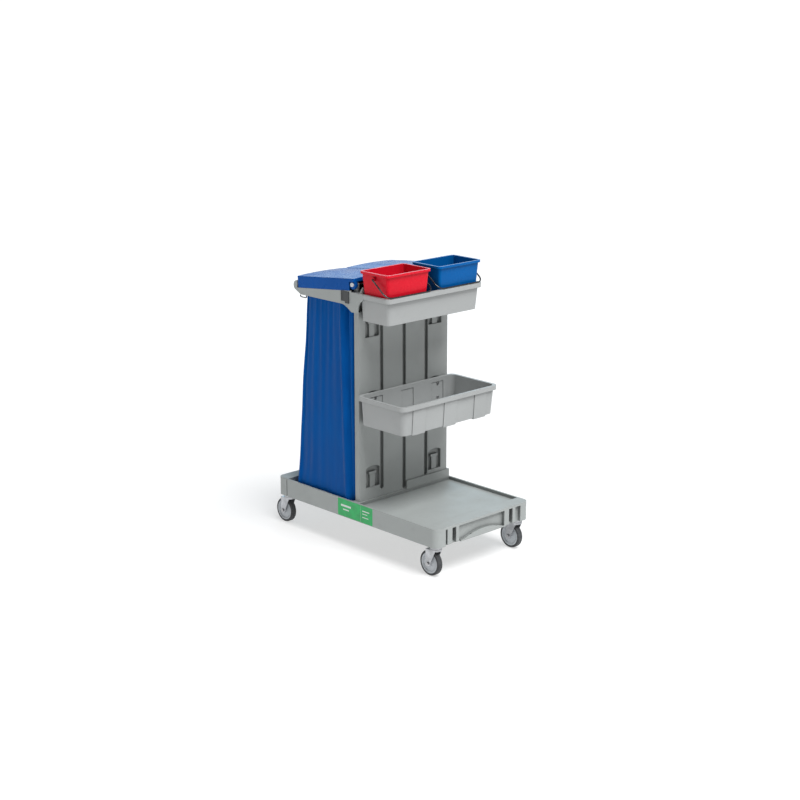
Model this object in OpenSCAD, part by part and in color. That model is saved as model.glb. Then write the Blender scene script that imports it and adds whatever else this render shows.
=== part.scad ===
// Housekeeping cart: a wheeled base with a front deck and a rear bag well, a centre panel,
// a hanging lower tray, a top frame with a push handle, an upper tray with two lift-out
// buckets, and two bags under hinged lids. +X is the front, +Z is up.

/* [Base] */
// Length of the base, front to rear
base_len = 920; // [780:10:1080]
// Width of the base
base_w = 510; // [450:10:620]
// Height of the base's outer wall
base_h = 74; // [64:1:95]
// Radius of the base's corners
base_r = 28; // [20:1:34]
// Thickness of the base's side walls
base_wall = 7; // [5:0.5:9]
// Thickness of the base's floors and tops
base_skin = 4; // [3:0.5:6]
// Depth of the front deck below the base's rim
deck_drop = 12; // [6:1:18]
// Width of the front and rear beams
beam_w = 58; // [54:1:75]
// Depth of the bag well below the base's rim
well_depth = 62; // [40:1:66]
// Set-back of the front wall behind the front lip
front_setback = 12; // [6:1:16]
// Half length of the arched pull grip on the front wall
grip_half = 120; // [80:5:140]
// Rise of the arched pull grip above the base's underside
grip_rise = 26; // [15:1:40]
// Length of the side label
label_len = 200; // [120:5:260]
// Thickness of the side label
label_t = 0.8; // [0.5:0.1:1.5]

/* [Casters] */
// Radius of the wheel over its tyre
wheel_r = 50; // [40:1:60]
// Width of the tyre
tyre_w = 24; // [20:1:28]
// Thickness of the tyre
tyre_t = 9; // [6:0.5:14]
// Gap between the tyre and the fork's crown
crown_gap = 4; // [3:0.5:15]
// Distance from the swivel axis back to the axle
trail = 24; // [15:1:30]
// Distance from the base's end to the swivel axis
caster_inset_x = 36; // [32:1:60]
// Distance from the base's side to the swivel axis
caster_inset_y = 34; // [31:1:60]
// Radius of the axle
axle_r = 4; // [3:0.5:6]
// Radius of the kingpin
kingpin_r = 6; // [4:0.5:8]
// Radius of the swivel head
head_r = 23; // [19:1:26]
// Thickness of the fork's sheet metal
fork_t = 2.5; // [2:0.1:4]

/* [Panel] */
// Distance from the base's front to the panel's face
panel_setback = 440; // [380:5:480]
// Thickness of the panel
panel_t = 25; // [22:1:35]
// Width of the panel
panel_w = 476; // [420:2:500]
// Height of the panel
panel_h = 753; // [640:1:900]
// Distance between the panel's grooves
groove_pitch = 120; // [90:2:130]
// Width of a groove
groove_w = 18; // [10:1:20]
// Distance between the two columns of accessory sockets
socket_span = 336; // [320:2:370]
// Width of an accessory socket
socket_w = 72; // [60:1:80]
// Height of an accessory socket
socket_h = 86; // [70:1:100]
// Depth of grooves and sockets
socket_depth = 12; // [8:1:14]
// Height of the lowest sockets' centre above the panel's foot
socket_low = 92; // [80:1:120]
// Distance from the panel's top down to the highest sockets' centre
socket_high = 61; // [50:1:80]

/* [Lower tray] */
// Front-to-rear size of the lower tray over its rim
tray_len = 258; // [200:1:285]
// Width of the lower tray over its rim
tray_w = 518; // [440:2:530]
// Height of the lower tray
tray_h = 115; // [90:1:140]
// Gap between the panel and the lower tray
tray_gap = 7; // [6:1:30]

/* [Top frame] */
// Width over the arms
frame_w = 506; // [440:2:520]
// Thickness of the arms
arm_t = 6; // [4:0.5:8]
// Height from the panel's top to the upper tray's rim
frame_h = 76; // [70:1:90]
// Distance from the hinge line to the rear end of the bag bays
bay_len = 300; // [260:5:340]
// Radius of the handle's nose
nose_r = 20; // [18:1:26]
// Slope of the lids and arms, down towards the handle
lid_tilt = 6; // [2:0.5:8]

/* [Upper tray and buckets] */
// Height of the upper tray
shelf_h = 105; // [90:1:120]
// Wall thickness of both trays
tray_wall = 4; // [3:0.5:5]
// Front-to-rear size of a bucket over its rim
bucket_len = 157; // [125:1:190]
// Gap between the two buckets
bucket_gap = 40; // [34:1:80]
// Height of a bucket
bucket_h = 188.7; // [150:0.1:220]
// Wall thickness of a bucket
bucket_wall = 2.5; // [2:0.1:3.5]
// Radius of the bail's wire
wire_r = 3; // [2:0.1:3.5]

/* [Lids and bags] */
// Thickness of a lid
lid_t = 3; // [2:0.1:4]
// Depth of a lid's skirt below the hinge line
skirt_down = 22; // [18:1:26]
// Height of a lid's edge above the hinge line
lid_up = 23.4; // [22:0.2:26]
// Extra height of a lid's crown
lid_crown = 4; // [2:0.5:6]
// Radius of the hinge rod
rod_r = 4; // [3:0.5:5]
// Thickness of a bag's wall
bag_t = 2.5; // [2:0.5:4]

/* [Hidden] */
$fn = 64;
hull_fn = 32;
ends = [-1, 1];
fit = 0.3;        // gap between parts that only rest on each other
running = 0.05;   // radial clearance of pins and shafts

x_front = base_len / 2;
x_rear = -x_front;
x_shift = (wheel_r + trail - caster_inset_x) / 2;
hub_r = wheel_r - tyre_t;
mount_gap = 0.3;
plate_t = 5.7;
head_h = 11;
crown_t = 3;
leg_y = tyre_w / 2 + 5;
base_z = 2 * wheel_r + crown_gap + crown_t + head_h + mount_gap + plate_t;
rim_z = base_z + base_h;
deck_z = rim_z - deck_drop;
well_z = rim_z - well_depth;
swivel_x = x_front - caster_inset_x;
swivel_y = base_w / 2 - caster_inset_y;

panel_face = x_front - panel_setback;
panel_back = panel_face - panel_t;
panel_top = rim_z + panel_h;
sill_front = panel_face + 8;
sill_back = panel_back - 5;
bag_rear = x_rear + beam_w + 28;
socket_z = rim_z + socket_low;
socket_pitch = (panel_h - socket_low - socket_high) / 2;
foot_h = 33;
bolt_ys = [-170, -60, 60, 170];
bolt_x = (panel_face + panel_back) / 2;

tray_x0 = panel_face + tray_gap;
tray_x1 = tray_x0 + tray_len;
rim_rise = 41;
rim_h = 17;
bracket_top = rim_rise - rim_h;
tray_rim_z = socket_z + socket_pitch + rim_rise;
rim_in = 7;

frame_y = frame_w / 2;
shelf_z = panel_top + frame_h;
shelf_rim_h = 18;
shelf_x0 = panel_face + 2;
shelf_floor = shelf_z - shelf_h + tray_wall;
hinge_x = panel_back + 5;
hinge_z = shelf_z + 29;
lid_back = bay_len + 19;
lid_front = 14;
arm_drop = skirt_down + 0.4;
beam_x0 = panel_back - 7;
guard_x = hinge_x + 34;
guard_t = 6;
guard_h = 23;
bucket_rear = guard_x + 2;
shelf_x1 = bucket_rear + bucket_len + 7;
lug_r = 10;
lid_lug_r = 18;
lug_out = frame_y - 19;
lug_w = 10;
hoop_drop = arm_drop + 7.6;
ledge_drop = hoop_drop + 3.3;
ledge_t = 3.7;
hoop_r = 3;
hoop_x0 = -bay_len + 6;
hoop_x1 = -19;
nose_x = hinge_x - lid_back - 1.5;
nose_z = shelf_z - 18;
arm_z = panel_top + 25;
arch_x = panel_face + 42;

bucket_z = shelf_floor + fit;
bucket_top = bucket_z + bucket_h;
bucket_x = bucket_rear + bucket_len / 2;
bucket_w = frame_y - 3 - bucket_gap / 2;
bucket_y = (bucket_gap + bucket_w) / 2;
bucket_lip = 6;
bucket_draft = 13;
bail_z = bucket_top - 22;
elbow_bend = wire_r + 1.5;
bail_y = bucket_w / 2 + elbow_bend + fit;
bail_reach = shelf_x1 - 4 - bucket_x;
bail_fall = bail_z - (shelf_z + wire_r + fit);
bail_len = round(10 * sqrt(bail_reach * bail_reach + bail_fall * bail_fall)) / 10;
bail_angle = atan2(bail_fall, bail_reach);
bail_bend = 28;

grey = [0.66, 0.68, 0.68];
light_grey = [0.74, 0.76, 0.76];
blue = [0.05, 0.29, 0.58];
navy = [0.02, 0.26, 0.55];
red = [0.86, 0.13, 0.2];
zinc = [0.75, 0.77, 0.79];
steel = [0.6, 0.62, 0.64];
black = [0.08, 0.08, 0.09];
dark_grey = [0.24, 0.25, 0.26];
green = [0.09, 0.55, 0.27];

// ---- shared shapes ----

// Moves the cart so that the middle of its floor print is at the origin
module placed() {
  translate([x_shift, 0, 0]) children();
}

// Box between two corners
module block(low, high) {
  translate(low) cube(high - low);
}

// Flat rectangle with round corners, from x0 to x1 and y0 to y1
module plate2d(x0, x1, y0, y1, r) {
  translate([x0 + r, y0]) square([x1 - x0 - 2 * r, y1 - y0]);
  translate([x0, y0 + r]) square([x1 - x0, y1 - y0 - 2 * r]);
  for (x = [x0 + r, x1 - r], y = [y0 + r, y1 - r])
    translate([x, y]) circle(r);
}

module slab(x0, x1, y0, y1, z0, z1, r) {
  translate([0, 0, z0]) linear_extrude(z1 - z0) plate2d(x0, x1, y0, y1, r);
}

// Tapered block between a low and a high slab; each is [x0, x1, y0, y1, z, r]
module tapered(low, high, skin = 0.2) {
  hull() {
    slab(low[0], low[1], low[2], low[3], low[4], low[4] + skin, low[5], $fn = hull_fn);
    slab(high[0], high[1], high[2], high[3], high[4] - skin, high[4], high[5], $fn = hull_fn);
  }
}

// Side profile drawn in X and Z, given thickness along Y
module side_profile(y0, y1) {
  translate([0, y1, 0]) rotate([90, 0, 0]) linear_extrude(y1 - y0) children();
}

module y_cylinder(r, y0, y1) {
  translate([0, y1, 0]) rotate([90, 0, 0]) cylinder(r = r, h = y1 - y0);
}

function arc(cx, cy, r, a0, a1, n) =
  [for (i = [0:n]) let (a = a0 + (a1 - a0) * i / n) [cx + r * cos(a), cy + r * sin(a)]];

// ---- base ----

module base_hollows() {
  inner_y = base_w / 2 - base_wall;
  // front deck
  block([sill_front, -inner_y, deck_z], [x_front - beam_w, inner_y, rim_z + 1]);
  // bag well
  slab(x_rear + beam_w, sill_back, -inner_y, inner_y, well_z, rim_z + 1, 8);
  // space under the deck, under the front beam and under the sill
  block([sill_back + base_skin, -inner_y, base_z - 1],
        [x_front - front_setback - base_wall, inner_y, deck_z - base_skin]);
  block([x_front - beam_w + base_skin, -inner_y, deck_z - base_skin - 1],
        [x_front - front_setback - base_wall, inner_y, rim_z - base_skin]);
  block([sill_back + base_skin, -inner_y, deck_z - base_skin - 1],
        [sill_front - base_skin, inner_y, rim_z - base_skin]);
  // space under the rear beam and under the well's floor
  block([x_rear + base_wall, -inner_y, base_z - 1],
        [x_rear + beam_w - base_skin, inner_y, rim_z - base_skin]);
  block([x_rear + beam_w - base_skin - 1, -inner_y, base_z - 1],
        [sill_back + base_skin + 1, inner_y, well_z - base_skin]);
}

// Two upright ribs with a deep slot between them, at each side of the front wall
rib_centres = [-155, 155];
module front_ribs() {
  root_x = x_front - front_setback - 1;
  for (c = rib_centres) {
    block([root_x, c - 41, base_z + 4], [x_front, c - 15, rim_z - 9]);
    block([root_x, c + 5, base_z + 4], [x_front, c + 21, rim_z - 9]);
  }
}

// Closes the slots behind the front wall
module slot_backs() {
  wall_x = x_front - front_setback - base_wall;
  for (c = rib_centres) difference() {
    block([wall_x - 16, c - 19, base_z + 3], [wall_x + 1, c + 9, rim_z - 5]);
    block([wall_x - 12, c - 15, base_z + 8], [wall_x + 2, c + 5, rim_z - 11]);
  }
}

module front_grip() {
  grip_r = (grip_half * grip_half + grip_rise * grip_rise) / (2 * grip_rise);
  root_x = x_front - front_setback - 1;
  difference() {
    union() {
      intersection() {
        translate([root_x, 0, base_z + grip_rise - grip_r]) rotate([0, 90, 0])
          cylinder(r = grip_r, h = x_front - root_x, $fn = 240);
        block([root_x, -grip_half, base_z], [x_front, grip_half, base_z + grip_rise + 1]);
      }
      block([root_x, -grip_half - 4, base_z], [x_front, grip_half + 4, base_z + 5]);
    }
    for (side = ends)
      translate([root_x, side * 0.58 * grip_half, base_z + 0.68 * grip_rise])
        rotate([0, 90, 0]) translate([0, 0, 4]) cylinder(r = 2.6, h = front_setback);
  }
}

module base() {
  color(grey) placed() {
    difference() {
      union() {
        difference() {
          slab(x_rear, x_front, -base_w / 2, base_w / 2, base_z, rim_z, base_r);
          base_hollows();
          // front wall set back under the lip, between the corners
          block([x_front - front_setback, -base_w / 2 + 50, base_z - 1],
                [x_front + 1, base_w / 2 - 50, rim_z - 9]);
          for (c = rib_centres)
            block([x_front - front_setback - base_wall - 1, c - 15, base_z + 8],
                  [x_front, c + 5, rim_z - 11]);
        }
        front_ribs();
        front_grip();
        slot_backs();
        // bosses for the caster stems
        for (sx = ends, sy = ends)
          translate([sx * swivel_x, sy * swivel_y, base_z])
            cylinder(r = 22, h = 46);
        // ribs under the deck
        for (x = [0.33, 0.67])
          block([sill_front + x * (x_front - beam_w - sill_front) - 2, -base_w / 2 + 2, deck_z - 12],
                [sill_front + x * (x_front - beam_w - sill_front) + 2, base_w / 2 - 2, deck_z - 1]);
      }
      // stem holes
      for (sx = ends, sy = ends)
        translate([sx * swivel_x, sy * swivel_y, base_z - 1])
          cylinder(r = kingpin_r + running, h = 42);
      // seam between the body and the rear bumper
      for (side = ends)
        block([x_rear + beam_w - 2, side * base_w / 2 - 2.5, base_z + 3],
              [x_rear + beam_w + 2, side * base_w / 2 + 2.5, rim_z - 3]);
      // pocket of the side label
      label_pocket();
      // panel bolt holes in the sill
      for (y = bolt_ys)
        translate([bolt_x, y, rim_z - base_skin - 1]) cylinder(r = 4.3, h = base_skin + 2);
    }
  }
}

label_x = 11;
module label_shape(x_gap = 0) {
  half = label_len / 2 + x_gap;
  side_profile(-base_w / 2 - 1, -base_w / 2 + label_t)
    plate2d(label_x - half, label_x + half, base_z + 2 - x_gap, rim_z - 2 + x_gap, 3);
}

module label_pocket() {
  label_shape(0.1);
}

module side_label() {
  color(green) placed() intersection() {
    label_shape();
    block([x_rear, -base_w / 2, base_z], [x_front, 0, rim_z]);
  }
}

// ---- casters ----

module on_caster(sx, sy) {
  translate([sx * swivel_x + x_shift, sy * swivel_y, 0]) children();
}

// Plate and threaded stem that hold the caster to the base, with the kingpin below
module caster_mount(sx, sy) {
  top = base_z - plate_t;
  color(zinc) on_caster(sx, sy) {
    translate([0, 0, top]) cylinder(r = head_r + 1, h = plate_t);
    translate([0, 0, base_z - 1]) cylinder(r = kingpin_r, h = 40);
    translate([0, 0, top - mount_gap - head_h - crown_t - 1.2]) cylinder(r = kingpin_r, h = head_h + 8);
    translate([0, 0, top - mount_gap - head_h - crown_t - 3.2]) cylinder(r = kingpin_r + 3, h = 2.9);
  }
}

// Swivel head, crown and two legs pressed from sheet metal
module caster_fork(sx, sy) {
  head_top = base_z - plate_t - mount_gap;
  crown_z = head_top - head_h - crown_t;
  color(zinc) on_caster(sx, sy) difference() {
    union() {
      translate([0, 0, head_top - head_h]) cylinder(r = head_r, h = head_h);
      translate([0, 0, crown_z]) linear_extrude(crown_t) {
        circle(head_r);
        translate([-trail - 12, -leg_y - fork_t]) square([trail + 12, 2 * (leg_y + fork_t)]);
      }
      for (side = ends)
        side_profile(side * (leg_y + fork_t / 2) - fork_t / 2, side * (leg_y + fork_t / 2) + fork_t / 2)
          union() {
            polygon([[-trail - 12, crown_z + 1], [-trail - 12, wheel_r], [-trail + 11, wheel_r - 3],
                     [14, crown_z + 1]]);
            translate([-trail, wheel_r]) circle(12);
          }
    }
    // race groove round the head
    translate([0, 0, head_top - 6.5]) difference() {
      cylinder(r = head_r + 2, h = 2);
      translate([0, 0, -1]) cylinder(r = head_r - 1.5, h = 4);
    }
    translate([0, 0, crown_z - 1]) cylinder(r = kingpin_r + running, h = head_h + crown_t + 2);
    translate([-trail, 0, wheel_r]) y_cylinder(axle_r + running, -leg_y - fork_t - 1, leg_y + fork_t + 1);
  }
}

// Axle bolt with a hexagon head and a nut
module caster_axle(sx, sy) {
  outer = leg_y + fork_t;
  color(steel) on_caster(sx, sy) translate([-trail, 0, wheel_r]) {
    y_cylinder(axle_r, -outer - 1, outer + 6);
    y_cylinder(6.5, -outer - 5, -outer, $fn = 6);
    y_cylinder(6.5, outer, outer + 4.5, $fn = 6);
  }
}

// Wheel disc with a dished face and a rim
module caster_wheel(sx, sy) {
  half = tyre_w / 2;
  color(light_grey) on_caster(sx, sy) translate([-trail, 0, wheel_r]) rotate([90, 0, 0])
    rotate_extrude()
      polygon([
        [axle_r + running, -half - 3], [11, -half - 3], [13, -half + 2], [hub_r - 9, -half + 4],
        [hub_r - 5, -half + 0.5], [hub_r - 1, -half], [hub_r, -half + 1],
        [hub_r, half - 1], [hub_r - 1, half], [hub_r - 5, half - 0.5], [hub_r - 9, half - 4],
        [13, half - 2], [11, half + 3], [axle_r + running, half + 3]
      ]);
}

module caster_tyre(sx, sy) {
  half = tyre_w / 2;
  round_r = 5;
  color(dark_grey) on_caster(sx, sy) translate([-trail, 0, wheel_r]) rotate([90, 0, 0])
    rotate_extrude($fn = 96)
      polygon(concat(
        [[hub_r, -half + 1], [hub_r + 1, -half]],
        arc(wheel_r - round_r, -half + round_r, round_r, -90, 0, 5),
        arc(wheel_r - round_r, half - round_r, round_r, 0, 90, 5),
        [[hub_r + 1, half], [hub_r, half - 1]]
      ));
}

// ---- panel ----

// Pocket with an arched top and a hooked tab standing in it
module socket(y, z) {
  half = socket_w / 2;
  arch_r = (half * half + 100) / 20;
  translate([panel_face - socket_depth, y, z]) difference() {
    union() {
      block([0, -half, -socket_h / 2], [socket_depth + 1, half, socket_h / 2 - 10]);
      intersection() {
        translate([0, 0, socket_h / 2 - arch_r]) rotate([0, 90, 0])
          cylinder(r = arch_r, h = socket_depth + 1, $fn = 160);
        block([0, -half, 0], [socket_depth + 1, half, socket_h / 2]);
      }
    }
    block([-1, -13, -socket_h / 2 - 1], [socket_depth - 3, 13, socket_h / 2 - 24]);
    block([-1, -19, socket_h / 2 - 34], [socket_depth - 1, 19, socket_h / 2 - 24]);
  }
}

groove_tips = [27, 1, 32]; // heights of the grooves' lower tips above the panel's foot
module groove(y, tip_z) {
  translate([panel_face - socket_depth, y, 0]) {
    block([0, -groove_w / 2, tip_z + 8], [socket_depth + 1, groove_w / 2, panel_top + 1]);
    rotate([90, 0, 90]) linear_extrude(socket_depth + 1)
      polygon([[-groove_w / 2, tip_z + 8.1], [0, tip_z], [groove_w / 2, tip_z + 8.1]]);
  }
}

module panel() {
  half = panel_w / 2;
  color(grey) placed() difference() {
    union() {
      block([panel_back, -half, rim_z], [panel_face, half, panel_top]);
      // stepped foot beside the middle groove
      block([panel_back, groove_w / 2, rim_z], [sill_front - 2, half + 10, rim_z + foot_h]);
    }
    for (i = [-1:1]) groove(i * groove_pitch, rim_z + groove_tips[i + 1]);
    for (side = ends, row = [0:2])
      socket(side * socket_span / 2, socket_z + row * socket_pitch);
    for (y = bolt_ys)
      translate([bolt_x, y, rim_z - 1]) cylinder(r = 4 + running, h = 30);
    for (y = screw_ys)
      translate([panel_back - 1, y, flange_z]) rotate([0, 90, 0]) cylinder(r = 2.5, h = 15);
    for (y = shelf_screw_ys)
      translate([panel_face - 10, y, shelf_screw_z]) rotate([0, 90, 0]) cylinder(r = 2.5, h = 12);
  }
}

// Bolts that come up through the sill into the panel's foot
module panel_bolts() {
  color(steel) placed()
    for (y = bolt_ys)
      translate([bolt_x, y, rim_z - base_skin]) {
        cylinder(r = 4, h = base_skin + 26);
        translate([0, 0, -6]) cylinder(r = 7.5, h = 6, $fn = 6);
      }
}

// ---- lower tray ----

band_half = 33;
band_pitch = 165;
band_out = 2.5;
bracket_screw_rises = [-39.5, bracket_top - 6.5];
bracket_screw_l = tray_gap + rim_in - band_out + tray_wall - 4.4;

// Outside or inside of the tub; grow moves the walls outwards and drop lowers the bottom
module tub(x0, x1, half, z0, z1, r, grow, draft) {
  foot_half = half - 1.25 * draft;
  tapered([x0 + 2 - grow, x1 - draft + grow, -foot_half - grow, foot_half + grow, z0, r - 4],
          [x0 - grow, x1 + grow, -half - grow, half + grow, z1, r]);
}

module tray_bands() {
  for (i = [-1:1])
    block([tray_x0 - 20, i * band_pitch - band_half, tray_rim_z - tray_h - 20],
          [tray_x1 + 20, i * band_pitch + band_half, tray_rim_z - rim_h - 0.1]);
}

module lower_tray() {
  z0 = tray_rim_z - tray_h;
  x0 = tray_x0 + rim_in;
  x1 = tray_x1 - rim_in - 1;
  half = tray_w / 2 - rim_in;
  draft = 8;
  color(light_grey) placed() difference() {
    union() {
      tub(x0, x1, half, z0, tray_rim_z - 1, 24, 0, draft);
      intersection() {
        tub(x0, x1, half, z0 - 4, tray_rim_z - 1, 24, band_out, draft);
        tray_bands();
      }
      difference() {
        slab(tray_x0, tray_x1, -tray_w / 2, tray_w / 2, tray_rim_z - rim_h, tray_rim_z, 25);
        slab(tray_x0 + 3, tray_x1 - 3, -tray_w / 2 + 3, tray_w / 2 - 3,
             tray_rim_z - rim_h - 1, tray_rim_z - 4, 22);
      }
    }
    tub(x0, x1, half, z0 + tray_wall, tray_rim_z + 1, 24, -tray_wall, draft);
    intersection() {
      tub(x0, x1, half, z0 + tray_wall - 3, tray_rim_z + 1, 24, -tray_wall + band_out, draft);
      tray_bands();
    }
    for (side = ends, dz = bracket_screw_rises)
      translate([tray_x0, side * socket_span / 2, socket_z + socket_pitch + dz]) rotate([0, 90, 0])
        cylinder(r = 2.6, h = 30);
  }
}

// Brackets that hook into the middle sockets and carry the tray's rear rim
module tray_brackets() {
  z = socket_z + socket_pitch;
  color(grey) placed()
    for (side = ends) translate([0, side * socket_span / 2, z]) {
      block([panel_face, -30, -46], [panel_face + 6, 30, bracket_top]);
      block([panel_face - socket_depth + 3, 14.5, -40], [panel_face, 30, 8]);
      block([panel_face - socket_depth + 3, -30, -40], [panel_face, -14.5, 8]);
      for (z = [-46, bracket_top - 13]) difference() {
        block([panel_face, -24, z], [tray_x0 + rim_in - band_out - 0.1, 24, z + 13]);
        translate([panel_face + 4, 0, z + 6.5]) rotate([0, 90, 0]) cylinder(r = 2.5, h = tray_len);
      }
    }
}

// Screws through the tray's rear wall into the brackets
module bracket_screws() {
  z = socket_z + socket_pitch;
  color(steel) placed()
    for (side = ends, dz = bracket_screw_rises)
      translate([panel_face + 6, side * socket_span / 2, z + dz]) rotate([0, 90, 0]) {
        cylinder(r = 2.4, h = tray_gap + rim_in);
        translate([0, 0, bracket_screw_l]) cylinder(r = 5, h = 3);
      }
}

// ---- top frame ----

function arm_top(x, drop) =
  hinge_z + (x - hinge_x) * tan(lid_tilt) - drop / cos(lid_tilt);

// Outline of the arm, the handle's nose and the post stub, in X and Z
function nose_outline() = concat(
  [[nose_x, arm_top(nose_x, arm_drop)]],
  arc(nose_x, nose_z, nose_r, 90, 235, 14),
  [[hinge_x - bay_len + 1, arm_z]]
);

function gusset(n) = [for (i = [0:n]) let (t = i / n)
  [panel_back - 57 * (1 - t), arm_z - 25 * (1 - cos(90 * t))]];

function arch_curve(n) = [for (i = [0:n]) let (a = 90 * i / n)
  [arch_x - 31 * cos(a), panel_top + 52 * sin(a)]];

function arm_outline() = concat(
  nose_outline(),
  gusset(8),
  [[panel_face + 11, panel_top]],
  arch_curve(10),
  [[arch_x, shelf_z], [hinge_x - 5, shelf_z], [hinge_x - 8, arm_top(hinge_x - 8, arm_drop)]]
);

module handle_section() {
  difference() {
    polygon(concat(nose_outline(),
      [[hinge_x - bay_len + 1, arm_top(hinge_x - bay_len + 1, arm_drop)]]));
    // open channel for the fingers, from below
    translate([nose_x - 6, arm_z - 10]) square([20, 32]);
  }
}

// Places its children in the plane of the lids: X along the lid, Z square to it
module in_lid_plane() {
  translate([hinge_x, 0, hinge_z]) rotate([0, -lid_tilt, 0]) children();
}

screw_ys = [-200, -70, 70, 200];
shelf_screw_ys = [-90, 90];
flange_z = panel_top - 18;
shelf_screw_z = panel_top - 10;

module top_frame() {
  inner_y = frame_y - arm_t;
  color(grey) placed() difference() {
    union() {
      for (side = ends) {
        side_profile(side > 0 ? inner_y : -frame_y, side > 0 ? frame_y : -inner_y)
          polygon(arm_outline());
        // ledge that carries the bag hoop
        in_lid_plane()
          block([-bay_len + 3, side > 0 ? inner_y - 16 : -inner_y, -ledge_drop - ledge_t],
                [-14, side > 0 ? inner_y : -inner_y + 16, -ledge_drop]);
      }
      side_profile(-inner_y, inner_y) handle_section();
      // divider between the two bag bays
      in_lid_plane() {
        block([-bay_len, -7, -ledge_drop - ledge_t], [-10, 7, -arm_drop]);
        block([-bay_len, -17, -ledge_drop - ledge_t], [-10, 17, -ledge_drop]);
      }
      // cross beam: top plate, rear web and flange behind the panel
      block([beam_x0, -inner_y, shelf_z - 4], [guard_x + guard_t, inner_y, shelf_z]);
      block([beam_x0, -inner_y, panel_top], [beam_x0 + 10, inner_y, shelf_z - 3]);
      block([beam_x0, -panel_w / 2 + 6, panel_top - 36], [panel_back, panel_w / 2 - 6, panel_top + 1]);
      for (y = [-inner_y, -8, inner_y - 16])
        block([beam_x0, y, panel_top], [panel_back + 9, y + 16, shelf_z - 3]);
      // guard between the lids and the buckets
      translate([guard_x, 0, shelf_z - 1]) rotate([90, 0, 90]) linear_extrude(guard_t)
        polygon([[-inner_y, 0], [-inner_y + 16, guard_h], [inner_y - 16, guard_h], [inner_y, 0]]);
      // hinge lugs
      for (y = [-lug_out, -lug_w, lug_out - lug_w]) {
        width = y == -lug_w ? 2 * lug_w : lug_w;
        translate([hinge_x, 0, hinge_z]) y_cylinder(lug_r, y, y + width);
        block([hinge_x - lug_r, y, shelf_z - 2], [hinge_x + lug_r, y + width, hinge_z]);
      }
    }
    translate([hinge_x, 0, hinge_z]) y_cylinder(rod_r + running, -frame_y, frame_y);
    for (y = screw_ys)
      translate([beam_x0 - 1, y, flange_z]) rotate([0, 90, 0]) cylinder(r = 2.6, h = 10);
    // slots for the arm clips
    for (side = ends)
      block([hinge_x - 36, side * frame_y - 12, arm_z + 18], [hinge_x - 20, side * frame_y + 12, arm_z + 28]);
  }
}

// Screws through the frame's flange into the panel's back
module frame_screws() {
  color(steel) placed()
    for (y = screw_ys)
      translate([beam_x0, y, flange_z]) rotate([0, 90, 0]) {
        cylinder(r = 2.5, h = 20);
        translate([0, 0, -3]) cylinder(r = 5, h = 3);
      }
}

// Dark clips on the arms' outer faces, each with a slit
module arm_clips() {
  color(dark_grey) placed()
    for (side = ends) {
      y0 = side > 0 ? frame_y : -frame_y - 2.3;
      difference() {
        union() {
          block([hinge_x - 60, y0, arm_z + 12], [hinge_x - 15, y0 + 2.3, arm_z + 51]);
          block([hinge_x - 36, y0 - (side > 0 ? 0 : 1.4), arm_z + 6],
                [hinge_x - 15, y0 + 2.3 + (side > 0 ? 1.4 : 0), arm_z + 51]);
          block([hinge_x - 34, side > 0 ? frame_y - arm_t - 3 : -frame_y - 1, arm_z + 19],
                [hinge_x - 22, side > 0 ? frame_y + 1 : -frame_y + arm_t + 3, arm_z + 27]);
        }
        block([hinge_x - 55, y0 - 1, arm_z + 16], [hinge_x - 52, y0 + 4, arm_z + 47]);
      }
    }
}

// Small wire hooks under the rear ends of the arms
module handle_hooks() {
  wire = 2.2;
  bend = 5;
  reach = 26;
  color(black) placed()
    for (side = ends)
      translate([hinge_x - bay_len + 32, side * (frame_y - arm_t / 2 - 1), arm_z]) {
        translate([0, 0, -bend]) cylinder(r = wire, h = bend, $fn = 24);
        hook_bend(-bend, -bend, 0, bend, wire);
        translate([-bend - reach, 0, -2 * bend]) rotate([0, 90, 0]) cylinder(r = wire, h = reach, $fn = 24);
        hook_bend(-bend - reach, -bend, -90, bend, wire);
        translate([-2 * bend - reach, 0, -bend]) sphere(wire + 0.6, $fn = 24);
      }
}

// Quarter of a ring that turns downwards from the wire's end
module hook_bend(x, z, turn, bend, wire) {
  translate([x, 0, z]) rotate([90, 0, 0]) rotate([0, 0, turn - 90])
    rotate_extrude(angle = 90, $fn = 48) translate([bend, 0]) circle(wire, $fn = 24);
}

// ---- upper tray ----

module upper_tray() {
  z0 = shelf_z - shelf_h;
  x0 = shelf_x0 + 10;
  x1 = shelf_x1 - 10;
  half = frame_y - 8;
  draft = 8;
  color(light_grey) placed() difference() {
    union() {
      difference() {
        union() {
          difference() {
            tub(x0, x1, half, z0, shelf_z - 1, 18, 0, draft);
            // room for the frame's top plate
            block([shelf_x0, -frame_y, shelf_z - 4.2], [guard_x + guard_t + fit, frame_y, shelf_z]);
          }
          // rim with its skirt, in front of the frame's side plates
          difference() {
            slab(guard_x - 8, shelf_x1, -frame_y, frame_y, shelf_z - shelf_rim_h, shelf_z, 22);
            slab(guard_x - 12, shelf_x1 - 4, -frame_y + 4, frame_y - 4,
                 shelf_z - shelf_rim_h - 1, shelf_z - 4, 18);
            block([guard_x - 20, -frame_y - 1, shelf_z - shelf_rim_h - 1],
                  [guard_x + guard_t + fit, frame_y + 1, shelf_z + 1]);
            for (side = ends)
              block([guard_x - 20, side * frame_y - arm_t - fit, shelf_z - shelf_rim_h - 1],
                    [arch_x + fit, side * frame_y + arm_t + fit, shelf_z + 1]);
          }
        }
        tub(x0, x1, half, z0 + tray_wall, shelf_z + 1, 18, -tray_wall, draft);
      }
      // tabs that are screwed to the panel
      for (y = shelf_screw_ys)
        block([panel_face, y - 14, shelf_screw_z - 10], [x0 + 5, y + 14, shelf_screw_z + 10]);
    }
    for (y = shelf_screw_ys)
      translate([panel_face - 1, y, shelf_screw_z]) rotate([0, 90, 0]) cylinder(r = 2.6, h = 40);
  }
}

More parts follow.
